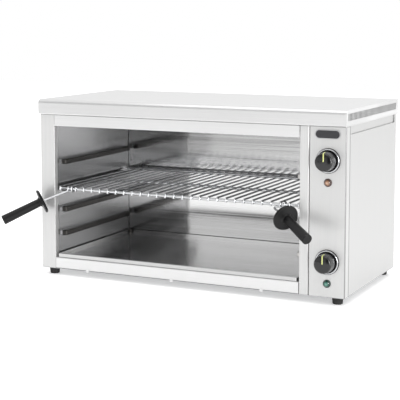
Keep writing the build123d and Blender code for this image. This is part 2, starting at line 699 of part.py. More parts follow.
spindle_nut = Pos(0, -BEZEL_FLOOR, 0) * nut(NUT_AF, BUSHING_R, NUT_T)
for (name, case), level, z in zip(cases.items(), ("upper", "lower"), KNOB_Z):
    spot = Pos(KNOB_X, 0, z)
    nodes[f"knob_{level}"] = spot * knob
    nodes[f"pointer_{level}"] = spot * pointer
    nodes[f"{name}_shaft"] = spot * shaft
    nodes[f"bezel_{level}"] = spot * bezel
    nodes[name] = spot * ((plate + case + bush + blades) - bush_bore)
nodes["bezel_seats"] = Compound(children=[Pos(KNOB_X, 0, z) * bezel_seat for z in KNOB_Z])
nodes["spindle_nuts"] = Compound(children=[Pos(KNOB_X, 0, z) * spindle_nut for z in KNOB_Z])

# Pilot lamps: domed lenses on the panel, with a lamp holder pushed through from the rear of each
lens_apex = (0, -LENS_H)
lens_step = (LENS_R - LENS_LIP, -LENS_RIM)
lens_edge = Polyline(lens_apex, (0, 0), (LENS_R, 0), (LENS_R, -LENS_RIM), lens_step)
lens_dome = TangentArc(lens_apex, lens_step, tangent=(1, 0))
lens = revolve(make_face(lens_edge + lens_dome), Axis.Y, 360)
holder = rod(0, 0, 0, LAMP_BODY_R, LAMP_BODY_L)
holder += rod(0, SHEET, 0, LENS_R, LENS_RIM)
holder += [
    block(-BLADE_W / 2, BLADE_W / 2, LAMP_BODY_L - SEAM, LAMP_BODY_L + BLADE_L, z, z + BLADE_T)
    for z in (-LAMP_BLADE_OFF, LAMP_BLADE_OFF)
]
for name, z in zip(("lamp_lens_amber", "lamp_lens_green"), lamp_z):
    nodes[name] = Pos(KNOB_X, 0, z) * lens
nodes["lamp_holders"] = Compound(children=[Pos(KNOB_X, 0, z) * holder for z in lamp_z])

# Badge: bare stadium plate with a raised rim
badge_spot = (PANEL_LEFT + CONTROL_W / 2, 0, BODY_H - BADGE_DROP)
badge_plane = Plane(badge_spot, x_dir=(1, 0, 0), z_dir=(0, -1, 0))
badge = extrude(badge_plane * SlotOverall(BADGE_W, BADGE_H), BADGE_T)
badge_field = SlotOverall(BADGE_W - 2 * BADGE_RIM, BADGE_H - 2 * BADGE_RIM)
nodes["badge_plate"] = badge - extrude(badge_plane.offset(BADGE_T - BADGE_DISH) * badge_field, BADGE_DISH)

# Lid: one sheet with a rolled front edge and a return folded under, its slotted ends let in a little
lid_left = LEFT - LID_OVER_SIDE
lid_right = RIGHT + LID_OVER_SIDE
lid_front = -LID_OVER_FRONT
lid_rear = BODY_D + LID_OVER_REAR


def lid_bar(inset, x0, x1):
    """Solid bar of the lid's cross-section, moved in by inset from its outside."""
    front = lid_front + inset
    rear = lid_rear - inset
    low = BODY_H + inset
    high = LID_TOP - inset
    bend = BEND + SHEET - inset
    outline = FilletPolyline(
        (front, low), (front, high), (rear, high), (rear, low),
        radius=(bend, LID_NOSE_R - inset, bend, bend), close=True,
    )
    return extrude(Plane.YZ.offset(x0) * make_face(outline), x1 - x0)


plate_out = (lid_left + LID_END_LET, lid_right - LID_END_LET)
top_cover = lid_bar(0, lid_left, lid_right) - lid_bar(SHEET, plate_out[0] + SHEET, plate_out[1] - SHEET)
top_cover -= lid_bar(SHEET, lid_left - SHEET, plate_out[0])
top_cover -= lid_bar(SHEET, plate_out[1], lid_right + SHEET)
top_cover -= block(
    lid_left + LID_RETURN, lid_right - LID_RETURN, lid_front + LID_RETURN, lid_rear - LID_RETURN,
    BODY_H - SHEET, BODY_H + 2 * SHEET,
)
vent_room = lid_rear - lid_front - 2 * VENT_MARGIN
vent_count = int((vent_room - VENT_W) / VENT_PITCH) + 1
vent_plane = Plane.YZ.offset(lid_left - SHEET)
vent_spot = Pos((lid_front + lid_rear) / 2, LID_TOP - VENT_BELOW_TOP - VENT_H / 2)
vents = Sketch() + GridLocations(VENT_PITCH, 0, vent_count, 1) * Rectangle(VENT_W, VENT_H)
top_cover -= extrude(vent_plane * (vent_spot * vents), lid_right - lid_left + 2 * SHEET)
nodes["top_cover"] = top_cover - lid_holes

# Feet: tapered rubber buttons with a countersunk well, each held by one screw through the base
foot = turned(
    Plane.XZ, (FOOT_WELL_R, -FOOT_H), (FOOT_SOLE_R - FOOT_EDGE_R, -FOOT_H),
    (FOOT_SOLE_R, -FOOT_H + FOOT_EDGE_R), (FOOT_TOP_R, 0), (SCREW_R + SCREW_GAP, 0),
    (SCREW_R + SCREW_GAP, -FOOT_H + FOOT_WELL_H), (FOOT_WELL_R, -FOOT_H + FOOT_WELL_H),
)
nodes["feet"] = Compound(children=[Pos(x, y, 0) * foot for x, y in foot_spots])


def screw(shank):
    """Cross-recessed pan-head screw along -z with its head's seat at z = 0."""
    dome = turned(
        Plane.XZ, (0, 0), (SCREW_HEAD_R, 0), (SCREW_HEAD_R, SCREW_HEAD_H / 2),
        (SCREW_HEAD_R - SCREW_HEAD_H / 2, SCREW_HEAD_H), (0, SCREW_HEAD_H),
    )
    across = RECESS_L / 2
    narrow = RECESS_W / 2
    deep = SCREW_HEAD_H - RECESS_DEPTH
    dome -= block(-across, across, -narrow, narrow, deep, SCREW_HEAD_H)
    dome -= block(-narrow, narrow, -across, across, deep, SCREW_HEAD_H)
    return dome + rod(0, 0, -shank, SCREW_R, shank, Axis.Z)


foot_screw = Rot(180, 0, 0) * screw(FOOT_H - FOOT_WELL_H + SHEET + SCREW_TAIL)
nodes["foot_screws"] = Compound(
    children=[Pos(x, y, FOOT_WELL_H - FOOT_H) * foot_screw for x, y in foot_spots]
)
rear_screw = Rot(-90, 0, 0) * screw(2 * SHEET + SCREW_TAIL)
nodes["rear_screws"] = Compound(children=[Pos(x, BODY_D, z) * rear_screw for x, z in rear_screw_spots])
lid_screw = Rot(180, 0, 0) * screw(2 * SHEET + SCREW_TAIL)
nodes["lid_screws"] = Compound(children=[Pos(x, y, BODY_H - SHEET) * lid_screw for x, y in lid_screw_spots])

# Mains inlet: a gland through the rear panel with its lock nut, and a terminal block on the base
gland = rod(0, 0, 0, GLAND_FLANGE_R, GLAND_FLANGE_T)
gland += rod(0, GLAND_FLANGE_T, 0, GLAND_NOSE_R, GLAND_NOSE_L)
gland += rod(0, -SHEET - GLAND_INSIDE, 0, GLAND_R, SHEET + GLAND_INSIDE)
gland -= rod(0, -SHEET - GLAND_INSIDE, 0, GLAND_BORE_R, SHEET + GLAND_INSIDE + GLAND_FLANGE_T + GLAND_NOSE_L)
gland_mouth = gland.faces().sort_by(Axis.Y)[-1]
gland = chamfer(gland_mouth.outer_wire().edges(), SHEET)
nodes["cable_gland"] = Pos(COMPARTMENT_X, BODY_D, GLAND_Z) * gland
gland_nut = nut(2 * GLAND_FLANGE_R, GLAND_R, GLAND_NUT_T)
nodes["gland_nut"] = Pos(COMPARTMENT_X, REAR_FACE, GLAND_Z) * gland_nut
block_x = COMPARTMENT_X - BLOCK_L / 2
block_y = REAR_FACE - BLOCK_REAR_GAP
terminal_block = block(block_x, block_x + BLOCK_L, block_y, block_y + BLOCK_W, SHEET, SHEET + BLOCK_H)
way_pitch = BLOCK_L / BLOCK_WAYS
for way in range(BLOCK_WAYS):
    bore_x = block_x + way_pitch * way + way_pitch / 2
    for y in (block_y + BLOCK_SCREW_OFF, block_y + BLOCK_W - BLOCK_SCREW_OFF):
        terminal_block -= rod(bore_x, y, SHEET + BLOCK_H / 2, SCREW_R, BLOCK_H, Axis.Z)
    terminal_block -= rod(bore_x, block_y - SHEET, SHEET + BLOCK_BORE_Z, SCREW_R, BLOCK_W + 2 * SHEET)
nodes["terminal_block"] = terminal_block


def lead(*points):
    """Insulated lead that follows its bend points with rounded turns."""
    path = FilletPolyline(*points, radius=LEAD_BEND_R)
    return sweep(Plane(path @ 0, z_dir=path % 0) * Circle(LEAD_R), path)


# Leads: from the block to the timer, on through the thermostat and both heaters, and back by the lamps
way_x = [block_x + way_pitch * way + way_pitch / 2 for way in range(BLOCK_WAYS)]
way_z = SHEET + BLOCK_BORE_Z
way_front = block_y + LEAD_IN_BLOCK
way_rear = block_y + BLOCK_W - LEAD_IN_BLOCK
blade_y = case_rear + BLADE_L
turn_y = blade_y + LEAD_BEHIND_BLADE
thermostat_z, timer_z = [[z + off + BLADE_T / 2 for off in (-BLADE_OFF, BLADE_OFF)] for z in KNOB_Z]
amber_z, green_z = [[z + off + BLADE_T / 2 for off in (-LAMP_BLADE_OFF, LAMP_BLADE_OFF)] for z in lamp_z]
stud_x = heater_out + STUD_L
stud_y = [y for y, _ in bush_spots]
link_x = stud_x + LEAD_SIDE
lamp_y = LAMP_BODY_L + BLADE_L
lamp_turn = lamp_y + LEAD_SIDE
lamp_x = KNOB_X + LEAD_SIDE
rise_y = block_y - LEAD_SIDE
drop_y = block_y + BLOCK_W + LEAD_SIDE
leads = [
    lead(
        (way_x[0], way_front, way_z),
        (way_x[0], rise_y, way_z),
        (way_x[0], rise_y, timer_z[0]),
        (KNOB_X, rise_y, timer_z[0]),
        (KNOB_X, blade_y, timer_z[0]),
    ),
    lead(
        (KNOB_X, blade_y, timer_z[1]),
        (KNOB_X, turn_y, timer_z[1]),
        (KNOB_X, turn_y, thermostat_z[0]),
        (KNOB_X, blade_y, thermostat_z[0]),
    ),
    lead(
        (KNOB_X, blade_y, thermostat_z[1]),
        (KNOB_X, stud_y[0], thermostat_z[1]),
        (KNOB_X, stud_y[0], heater_z),
        (stud_x, stud_y[0], heater_z),
    ),
    lead(
        (stud_x, stud_y[1], heater_z),
        (link_x, stud_y[1], heater_z),
        (link_x, stud_y[2], heater_z),
        (stud_x, stud_y[2], heater_z),
    ),
    lead(
        (stud_x, stud_y[3], heater_z),
        (way_x[-1], stud_y[3], heater_z),
        (way_x[-1], drop_y, heater_z),
        (way_x[-1], drop_y, way_z),
        (way_x[-1], way_rear, way_z),
    ),
    lead(
        (KNOB_X, lamp_y, amber_z[0]),
        (KNOB_X, lamp_turn, amber_z[0]),
        (lamp_x, lamp_turn, amber_z[0]),
        (lamp_x, lamp_turn, green_z[1]),
        (KNOB_X, lamp_turn, green_z[1]),
        (KNOB_X, lamp_y, green_z[1]),
    ),
    lead(
        (KNOB_X, lamp_y, amber_z[1]),
        (KNOB_X, lamp_turn, amber_z[1]),
        (way_x[2], lamp_turn, amber_z[1]),
        (way_x[2], lamp_turn, way_z),
        (way_x[2], way_front, way_z),
    ),
    lead(
        (way_x[3], lamp_y, green_z[0]),
        (way_x[3], lamp_turn, green_z[0]),
        (way_x[3], lamp_turn, way_z),
        (way_x[3], way_front, way_z),
    ),
]
nodes["leads"] = Compound(children=leads)

# The origin goes to the floor under the middle of the whole footprint, grips included
whole = Compound(children=[Compound(children=part.solids()) for part in nodes.values()]).bounding_box()
origin = Pos(-round(whole.center().X, 1), -round(whole.center().Y, 1), FOOT_H)
os.makedirs("parts", exist_ok=True)
for name, part in nodes.items():
    export_step(origin * part, f"parts/{name}.step")
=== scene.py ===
import bpy
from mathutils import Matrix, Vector

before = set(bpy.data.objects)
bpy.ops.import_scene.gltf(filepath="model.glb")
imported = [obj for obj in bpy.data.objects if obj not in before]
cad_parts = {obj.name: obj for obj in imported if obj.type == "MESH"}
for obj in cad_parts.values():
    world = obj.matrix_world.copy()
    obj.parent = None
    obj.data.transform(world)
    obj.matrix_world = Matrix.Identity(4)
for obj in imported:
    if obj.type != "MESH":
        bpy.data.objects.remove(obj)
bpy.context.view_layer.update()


# Outer sheets: left side with its post, right post, control panel, right chassis and its cover.
# Stainless steel sheet, belt-brushed upright before it was cut, bent and screwed together.
# The scratches give it a satin sheen in upright streaks, and a film of polish pales it.
def linear(code):
    """Linear RGBA of an sRGB hex colour."""
    channels = [int(code[i:i + 2], 16) / 255 for i in (0, 2, 4)]
    return (*[c / 12.92 if c <= 0.04045 else ((c + 0.055) / 1.055) ** 2.4 for c in channels], 1.0)


def add(tree, kind, settings=(), *ordered, stops=(), **named):
    """Adds a node with its settings and ramp stops, and sets or links inputs by order or by name."""
    made = tree.nodes.new(kind)
    for name, value in dict(settings).items():
        setattr(made, name, value)
    if stops:
        ramp = made.color_ramp.elements
        while len(ramp) < len(stops):
            ramp.new(0.5)
        for element, (place, code) in zip(ramp, stops):
            element.position = place
            element.color = linear(code)
    for key, value in [*enumerate(ordered), *named.items()]:
        socket = made.inputs[key.replace("_", " ") if isinstance(key, str) else key]
        if isinstance(value, bpy.types.NodeSocket):
            tree.links.new(value, socket)
        else:
            socket.default_value = value
    return made


def material(name):
    """Empty material and its node tree."""
    made = bpy.data.materials.new(name)
    made.use_nodes = True
    made.node_tree.nodes.clear()
    return made, made.node_tree


def grain(tree, across_mm, along_mm, direction, detail=4.0):
    """Noise drawn out along one axis, sized in millimetres."""
    size = [1000 / across_mm] * 3
    size[direction] = 1000 / along_mm
    place = add(tree, "ShaderNodeTexCoord").outputs["Object"]
    drawn = add(tree, "ShaderNodeMapping", Vector=place, Scale=size).outputs["Vector"]
    noise = add(tree, "ShaderNodeTexNoise", Vector=drawn, Scale=1.0, Detail=detail, Roughness=0.6)
    return noise.outputs["Fac"]


def shade(tree, **inputs):
    """Surface with these inputs, wired to the material's output."""
    surface = add(tree, "ShaderNodeBsdfPrincipled", **inputs)
    add(tree, "ShaderNodeOutputMaterial", Surface=surface.outputs["BSDF"])


# Nearly all of a noise lies between these two levels.
LOW, HIGH = 0.3, 0.7


def uneven(tree, pattern, stops, smooth, rough, **inputs):
    """Surface whose colour and roughness both follow one pattern."""
    tone = add(tree, "ShaderNodeValToRGB", stops=stops, Fac=pattern)
    wear = add(
        tree,
        "ShaderNodeMapRange",
        Value=pattern,
        From_Min=LOW,
        From_Max=HIGH,
        To_Min=smooth,
        To_Max=rough,
    )
    shade(tree, Base_Color=tone.outputs["Color"], Roughness=wear.outputs["Result"], **inputs)


ALONG_X, ALONG_Y, ALONG_Z = range(3)
SCRATCH_DEPTH = 0.0001
SWAY_DEPTH = 0.004
SMOOTHER, ROUGHER = 0.04, 0.05


def brushed_steel(
    name, direction, pale, deep, rough, across_mm=0.8, along_mm=220.0, sway=0.012, film=0.0, spread=0.7
):
    """Steel whose parallel scratches spread reflections across them; a film makes it less metallic."""
    made, tree = material(name)
    # Real scratches lie about 0.1 mm apart. They are drawn coarser here, so that they show.
    scratch = grain(tree, across_mm, along_mm, direction)
    waves = grain(tree, across_mm=140.0, along_mm=260.0, direction=direction, detail=1.0)
    swayed = add(tree, "ShaderNodeBump", Height=waves, Strength=sway, Distance=SWAY_DEPTH)
    relief = add(
        tree,
        "ShaderNodeBump",
        Height=scratch,
        Strength=0.05,
        Distance=SCRATCH_DEPTH,
        Normal=swayed.outputs["Normal"],
    )
    across = add(tree, "ShaderNodeTangent", {"direction_type": "RADIAL", "axis": "XYZ"[direction]})
    uneven(
        tree,
        scratch,
        ((LOW, deep), (HIGH, pale)),
        smooth=rough - SMOOTHER,
        rough=rough + ROUGHER,
        Metallic=1.0 - film,
        Anisotropic=spread,
        Tangent=across.outputs["Tangent"],
        Normal=relief.outputs["Normal"],
    )
    return made


def dress(finish, *names):
    """Gives CAD nodes their finish."""
    for name in names:
        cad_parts[name].material_slots[0].material = finish


def from_to(tree, coordinate, axis, start, full):
    """Mask that grows from nothing to all between two places on one axis of a coordinate."""
    place = add(tree, "ShaderNodeTexCoord").outputs[coordinate]
    split = add(tree, "ShaderNodeSeparateXYZ", Vector=place)
    mask = add(tree, "ShaderNodeMapRange", Value=split.outputs[axis], From_Min=start, From_Max=full)
    return mask.outputs["Result"]


def stain(tree, mask, code):
    """Mixes a second colour into a finish where its mask is."""
    colour = tree.nodes["Principled BSDF"].inputs["Base Color"]
    clean = colour.links[0].from_socket
    mixed = add(tree, "ShaderNodeMixRGB", Fac=mask, Color1=clean, Color2=linear(code))
    tree.links.new(mixed.outputs["Color"], colour)


# Painted shade: dark lines below the lid, on the panel's bent right edge and at the joint behind it.
LID_LOW = min(corner[2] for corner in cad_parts["top_cover"].bound_box)
LID_SHADOW_FADE, LID_SHADOW_FULL = LID_LOW - 0.0020, LID_LOW - 0.0014


def shaded_below_lid(finish):
    """Finish with a painted shadow line just below the lid's front edge."""
    tree = finish.node_tree
    stain(tree, from_to(tree, "Object", "Z", LID_SHADOW_FADE, LID_SHADOW_FULL), "9A9A9A")
    return finish


front_steel = brushed_steel(
    "brushed_steel_front", ALONG_Z, pale="D5D5D4", deep="CDCDCD", rough=0.34, film=0.68, spread=0.15
)
dress(shaded_below_lid(front_steel), "side_panel_left", "right_post")
# Painted shade: the panel's copy of this steel is toned a little darker than the posts'.
shaded_panel_steel = brushed_steel(
    "brushed_steel_panel_shaded", ALONG_Z, pale="D1D1D0", deep="C9C9C9", rough=0.34, film=0.6, spread=0.15
)
panel_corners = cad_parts["control_panel"].bound_box
PANEL_RIGHT = max(corner[0] for corner in panel_corners)
PANEL_FRONT = min(corner[1] for corner in panel_corners)
PANEL_JOINT = max(corner[1] for corner in panel_corners)
SIDE_FADE, SIDE_FULL = PANEL_RIGHT - 0.0022, PANEL_RIGHT - 0.0014
BEND_FADE, BEND_FULL = PANEL_FRONT + 0.0026, PANEL_FRONT + 0.0016
JOINT_FADE, JOINT_FULL = PANEL_JOINT - 0.0030, PANEL_JOINT - 0.0020
tree = shaded_panel_steel.node_tree
# Painted shade: dark lines on the panel's bent right edge and in the joint behind it.
side_return = from_to(tree, "Object", "X", SIDE_FADE, SIDE_FULL)
for fade, full in ((BEND_FADE, BEND_FULL), (JOINT_FADE, JOINT_FULL)):
    edge = from_to(tree, "Object", "Y", fade, full)
    painted_line_shade = add(tree, "ShaderNodeMath", {"operation": "MULTIPLY"}, side_return, edge)
    stain(tree, painted_line_shade.outputs["Value"], "8A8A8A")
dress(shaded_below_lid(shaded_panel_steel), "control_panel")
# Painted shade: the right side's copy of this steel is toned darker than the front's.
shaded_side_steel = brushed_steel(
    "brushed_steel_side_shaded", ALONG_Z, pale="CACAC9", deep="C2C2C2", rough=0.36, film=0.5, spread=0.4
)
dress(shaded_side_steel, "chassis_right", "side_cover_right")

# Base plate: flat sheet under the whole cabinet, drilled for the feet and slotted for cooling.
# Mill-finish stainless steel, left as rolled, so duller and greyer than the outer sheets.
mill_steel = brushed_steel("mill_finish_steel", ALONG_X, pale="B9BABB", deep="9FA0A2", rough=0.42)
dress(mill_steel, "base_plate")

# Fascias: narrow channels above and below the cavity's mouth, spot-welded to the posts.
# Stainless steel, brushed lengthwise and folded, so bright bands across the front.
fascia_steel = brushed_steel(
    "brushed_steel_lengthwise", ALONG_X, pale="E6E6E6", deep="DEDEDE", rough=0.32, film=0.3
)
dress(shaded_below_lid(fascia_steel), "upper_fascia", "lower_fascia")

# Rear panel: the cavity's back wall with its pressed beads, screwed on from behind.
# Bright-rolled stainless steel, nearly a mirror, with faint lengthwise scratches.
# Only its cavity side was rolled bright: the outside is dull, with a grey film from the rolls.
bright_steel = brushed_steel(
    "bright_rolled_steel", ALONG_X, pale="DCDCDC", deep="C8C8C8", rough=0.085,
    across_mm=2.2, along_mm=340.0, sway=0.002,
)
# A face counts as outside as it turns from sidelong to the rear.
SIDELONG, BACKWARD = 0.3, 0.7
OUTSIDE_METAL = 0.45
tree = bright_steel.node_tree
outside = from_to(tree, "Normal", "Y", SIDELONG, BACKWARD)
stain(tree, outside, "B2B3B4")
dulled = add(tree, "ShaderNodeMapRange", Value=outside, To_Min=1.0, To_Max=OUTSIDE_METAL)
tree.links.new(dulled.outputs["Result"], tree.nodes["Principled BSDF"].inputs["Metallic"])
dress(bright_steel, "rear_panel")

# Liners: the cavity's side walls with hollow ribs pressed inwards to carry the grid.
# Aluminised steel, pressed and then dulled by heat: a grey film over a faint sheen.
# Painted shade: the ribs are coloured darker towards their crests, the left ones much more than the
# right.
WALL_SHARE, CREST_SHARE = 0.1, 0.4
for liner, wall, crest, rib_shade in (
    ("liner_left", WALL_SHARE, CREST_SHARE, "4E4C4A"),
    ("liner_right", 1 - WALL_SHARE, 1 - CREST_SHARE, "B4B2B0"),
):
    aluminised = brushed_steel(
        "aluminised_steel_" + liner, ALONG_Y, pale="C6C6C7", deep="BCBCBD", rough=0.18, film=0.12
    )
    tree = aluminised.node_tree
    # Painted shade on the ribs, darkest at their crests.
    stain(tree, from_to(tree, "Generated", "X", wall, crest), rib_shade)
    dress(aluminised, liner)

# Roof parts: reflector, heater hangers and the tray's runners.
# Satin stainless steel, folded and spot-welded: grey, with soft blurred reflections.
roof_steel = brushed_steel("satin_roof_steel", ALONG_X, pale="BDBDBE", deep="A2A2A4", rough=0.34)
dress(roof_steel, "reflector", "heater_hangers", "tray_runner_left", "tray_runner_right")

# Heaters: hairpin tubes under the reflector, held by the hangers.
# Heat-resistant nickel alloy sheath, oxidised to a mottled dark grey in use.
sheath, tree = material("oxidised_alloy_sheath")
blotch = grain(tree, across_mm=9.0, along_mm=26.0, direction=ALONG_X)
uneven(
    tree,
    blotch,
    ((0.32, "2E2C2A"), (0.5, "47443F"), (0.68, "5C5750")),
    smooth=0.5,
    rough=0.66,
    Metallic=0.6,
)
dress(sheath, "heater_front", "heater_rear")

# Heater bushes: flanged sleeves that insulate the tubes where they pass the liner.
# Unglazed steatite ceramic, off-white and chalky, with a grit drawn coarser than real.
steatite, tree = material("steatite_ceramic")
grit = grain(tree, across_mm=1.6, along_mm=1.6, direction=ALONG_X)
uneven(tree, grit, ((LOW, "DCD6C8"), (HIGH, "EDE8DC")), smooth=0.66, rough=0.8)
dress(steatite, "heater_bushes")

# Fasteners and shafts: screws, nuts, heater studs and the two control shafts.
# Zinc-plated steel, bluish and slightly cloudy.
zinc, tree = material("zinc_plated_steel")
cloud = grain(tree, across_mm=3.0, along_mm=3.0, direction=ALONG_X)
uneven(tree, cloud, ((LOW, "A7ABB0"), (HIGH, "C6C9CC")), smooth=0.24, rough=0.4, Metallic=1.0)
dress(zinc, "foot_screws", "rear_screws", "lid_screws", "spindle_nuts", "heater_studs")
dress(zinc, "thermostat_shaft", "timer_shaft")

# Crumb tray: shallow pan on the cavity's floor, its front edge rolled over.
# Bright-rolled stainless steel: a blurred mirror with faint lengthwise scratches.
# The rolled front edge is coloured greyer, and painted shade darkens the left rear corner.
tray_steel = brushed_steel(
    "bright_tray_steel", ALONG_X, pale="EAEAEA", deep="CCCCCC", rough=0.12,
    across_mm=4.0, along_mm=380.0, sway=0.003,
)
PAN_SHARE, HEM_SHARE = 0.02, 0.012
CORNER_SHADE_FROM_LEFT = (0.02, 0.014)
CORNER_SHADE_FROM_FRONT = (0.97, 0.98)
tree = tray_steel.node_tree
stain(tree, from_to(tree, "Generated", "Y", PAN_SHARE, HEM_SHARE), "BEBEBE")
# Painted shade in the left rear corner.
rear_end = from_to(tree, "Generated", "Y", *CORNER_SHADE_FROM_FRONT)
left_end = from_to(tree, "Generated", "X", *CORNER_SHADE_FROM_LEFT)
corner_shade = add(tree, "ShaderNodeMath", {"operation": "MULTIPLY"}, rear_end, left_end)
stain(tree, corner_shade.outputs["Value"], "4A4846")
dress(tray_steel, "crumb_tray")

# Wire grid and the hooked handle rods.
# Drawn steel wire, welded and chrome-plated: bright, with a faint haze along each wire.
wire_plate, tree = material("chrome_plated_wire")
haze = grain(tree, across_mm=1.2, along_mm=30.0, direction=ALONG_Y)
uneven(tree, haze, ((LOW, "C4C5C7"), (HIGH, "DEDFE1")), smooth=0.16, rough=0.28, Metallic=1.0)
dress(wire_plate, "wire_grid", "handle_rod_left", "handle_rod_right")

# Grips: handles with a round guard flange, pushed on the rods; and the seats under the bezels.
# Black phenolic, moulded in a blasted tool, so matt with a soft sheen.
# The pores that the blasting left are drawn coarser than real, so that they show.
PORE_DEPTH = 0.0003
phenolic, tree = material("matt_black_phenolic")
pores = grain(tree, across_mm=1.4, along_mm=1.4, direction=ALONG_X)
pitted = add(tree, "ShaderNodeBump", Height=pores, Strength=0.12, Distance=PORE_DEPTH)
uneven(
    tree,
    pores,
    ((LOW, "060607"), (HIGH, "101011")),
    smooth=0.34,
    rough=0.46,
    Specular_IOR_Level=0.3,
    Normal=pitted.outputs["Normal"],
)
dress(phenolic, "grip_left", "grip_right", "bezel_seats")


# Knobs: hollow caps that push on the flatted shafts.
# Black phenolic from a polished tool, so glossy, with faint smears from handling.
# The face is shaded as slightly crowned, so its reflection fades from one side to the other.
def off_axis(tree):
    """Distance from the middle of a round piece's face, as a share of its width."""
    place = add(tree, "ShaderNodeTexCoord").outputs["Generated"]
    flat = add(tree, "ShaderNodeVectorMath", {"operation": "MULTIPLY"}, place, (1.0, 0.0, 1.0))
    away = add(
        tree, "ShaderNodeVectorMath", {"operation": "DISTANCE"}, flat.outputs["Vector"], (0.5, 0.0, 0.5)
    )
    return away.outputs["Value"]


CROWN_DEPTH = 0.016
gloss_phenolic, tree = material("glossy_black_phenolic")
smear = grain(tree, across_mm=7.0, along_mm=7.0, direction=ALONG_X)
fall = add(tree, "ShaderNodeMath", {"operation": "POWER"}, off_axis(tree), 2.0)
crown = add(
    tree,
    "ShaderNodeBump",
    {"invert": True},
    Height=fall.outputs["Value"],
    Strength=1.0,
    Distance=CROWN_DEPTH,
)
uneven(
    tree,
    smear,
    ((LOW, "08080A"), (HIGH, "111112")),
    smooth=0.16,
    rough=0.24,
    Specular_IOR_Level=0.1,
    Coat_Weight=1.0,
    Coat_Roughness=0.2,
    Normal=crown.outputs["Normal"],
    Coat_Normal=crown.outputs["Normal"],
)
dress(gloss_phenolic, "knob_upper", "knob_lower")

# Pointers: lines sunk into each knob's face and rim.
# Pale yellow-green paint wiped into the groove, flat and slightly uneven.
fill_paint, tree = material("pale_filled_paint")
pooled = grain(tree, across_mm=1.8, along_mm=5.0, direction=ALONG_Z)
uneven(tree, pooled, ((LOW, "D0D67E"), (HIGH, "E4E99F")), smooth=0.45, rough=0.6)
dress(fill_paint, "pointer_upper", "pointer_lower")

# Bezels: rings round the knobs, clamped under the spindle nuts.
# Turned brass, chrome-plated: a mirror with fine turning marks, drawn coarser than real.
bezel_chrome, tree = material("chrome_plated_brass")
turning = grain(tree, across_mm=1.0, along_mm=1.0, direction=ALONG_Y)
uneven(tree, turning, ((LOW, "B4B5B7"), (HIGH, "C6C7C9")), smooth=0.08, rough=0.16, Metallic=1.0)
dress(bezel_chrome, "bezel_upper", "bezel_lower")

# Thermostat and timer: cases behind the panel, held by the spindle nuts.
# Black phenolic compound, moulded, with its filler showing as paler flecks.
compound, tree = material("filled_phenolic_compound")
fleck = grain(tree, across_mm=1.1, along_mm=2.2, direction=ALONG_Y)
uneven(tree, fleck, ((0.4, "1F1E1E"), (0.72, "3B3836")), smooth=0.4, rough=0.55)
dress(compound, "thermostat", "timer")

# Pilot lamps: domed lenses on the panel, clipped over their holders behind it.
# Tinted clear polycarbonate, with a painted highlight in the middle that darkens to painted shade at the
# rim.
HIGHLIGHT_AT, BODY_AT, SHADED_RIM_AT = 0.06, 0.22, 0.36


def tinted_lens(name, painted_highlight, body, painted_rim_shade):
    """Moulded lens with a faint swirl in its gloss, and a painted highlight fading to a shaded rim."""
    made, tree = material(name)
    swirl = grain(tree, across_mm=2.0, along_mm=2.0, direction=ALONG_X)
    gloss = add(
        tree, "ShaderNodeMapRange", Value=swirl, From_Min=LOW, From_Max=HIGH, To_Min=0.05, To_Max=0.12
    )
    stops = ((HIGHLIGHT_AT, painted_highlight), (BODY_AT, body), (SHADED_RIM_AT, painted_rim_shade))
    highlight_to_shade = add(tree, "ShaderNodeValToRGB", stops=stops, Fac=off_axis(tree))
    shade(
        tree,
        Base_Color=highlight_to_shade.outputs["Color"],
        Roughness=gloss.outputs["Result"],
        Transmission_Weight=0.2,
        Coat_Weight=0.6,
    )
    return made


dress(tinted_lens("amber_polycarbonate", painted_highlight="DEB69A", body="AC7E60", painted_rim_shade="4A2A1A"), "lamp_lens_amber")
dress(tinted_lens("green_polycarbonate", painted_highlight="74AE9E", body="327868", painted_rim_shade="0E362C"), "lamp_lens_green")

# Lamp holders and terminal block, behind the panel.
# White nylon, moulded; its glass fibres, drawn coarser than real, give a faint streaky sheen.
holder_nylon, tree = material("white_glass_filled_nylon")
fibre = grain(tree, across_mm=0.9, along_mm=4.0, direction=ALONG_Y)
uneven(tree, fibre, ((LOW, "D9D6CE"), (HIGH, "E9E7E0")), smooth=0.5, rough=0.62)
dress(holder_nylon, "lamp_holders", "terminal_block")

# Badge: bare stadium plate above the upper knob, stuck to the panel.
# Anodised aluminium, dark grey in its sunk field, with the raised rim cut bright.
FIELD_SHARE, RIM_SHARE = 0.3, 0.1
anodised, tree = material("dark_anodised_aluminium")
draw = grain(tree, across_mm=1.0, along_mm=20.0, direction=ALONG_X)
uneven(tree, draw, ((LOW, "3A3A3C"), (HIGH, "48484B")), smooth=0.34, rough=0.46, Metallic=0.7)
stain(tree, from_to(tree, "Generated", "Y", FIELD_SHARE, RIM_SHARE), "B9B9BB")
dress(anodised, "badge_plate")

# Lid: one sheet with a rolled front edge, returns folded under and slotted ends.
# Stainless steel, belt-brushed lengthwise and screwed to the sides from below: a pale, soft sheen.
lid_steel = brushed_steel(
    "brushed_lid_steel", ALONG_X, pale="E0E0E0", deep="D9D9D9", rough=0.32, film=0.2
)
dress(lid_steel, "top_cover")

# Feet: tapered buttons, each held by a screw in its well.
# Black nitrile rubber, moulded, dead matt with a greyish bloom.
nitrile, tree = material("black_nitrile_rubber")
bloom = grain(tree, across_mm=3.0, along_mm=3.0, direction=ALONG_X)
uneven(tree, bloom, ((LOW, "151515"), (HIGH, "242424")), smooth=0.68, rough=0.82)
dress(nitrile, "feet")

# Mains inlet: a gland through the rear panel with its lock nut.
# Black polyamide, moulded, with a faint silky sheen.
polyamide, tree = material("black_polyamide")
silk = grain(tree, across_mm=2.0, along_mm=2.0, direction=ALONG_X)
uneven(tree, silk, ((LOW, "17181A"), (HIGH, "232427")), smooth=0.4, rough=0.52)
dress(polyamide, "cable_gland", "gland_nut")

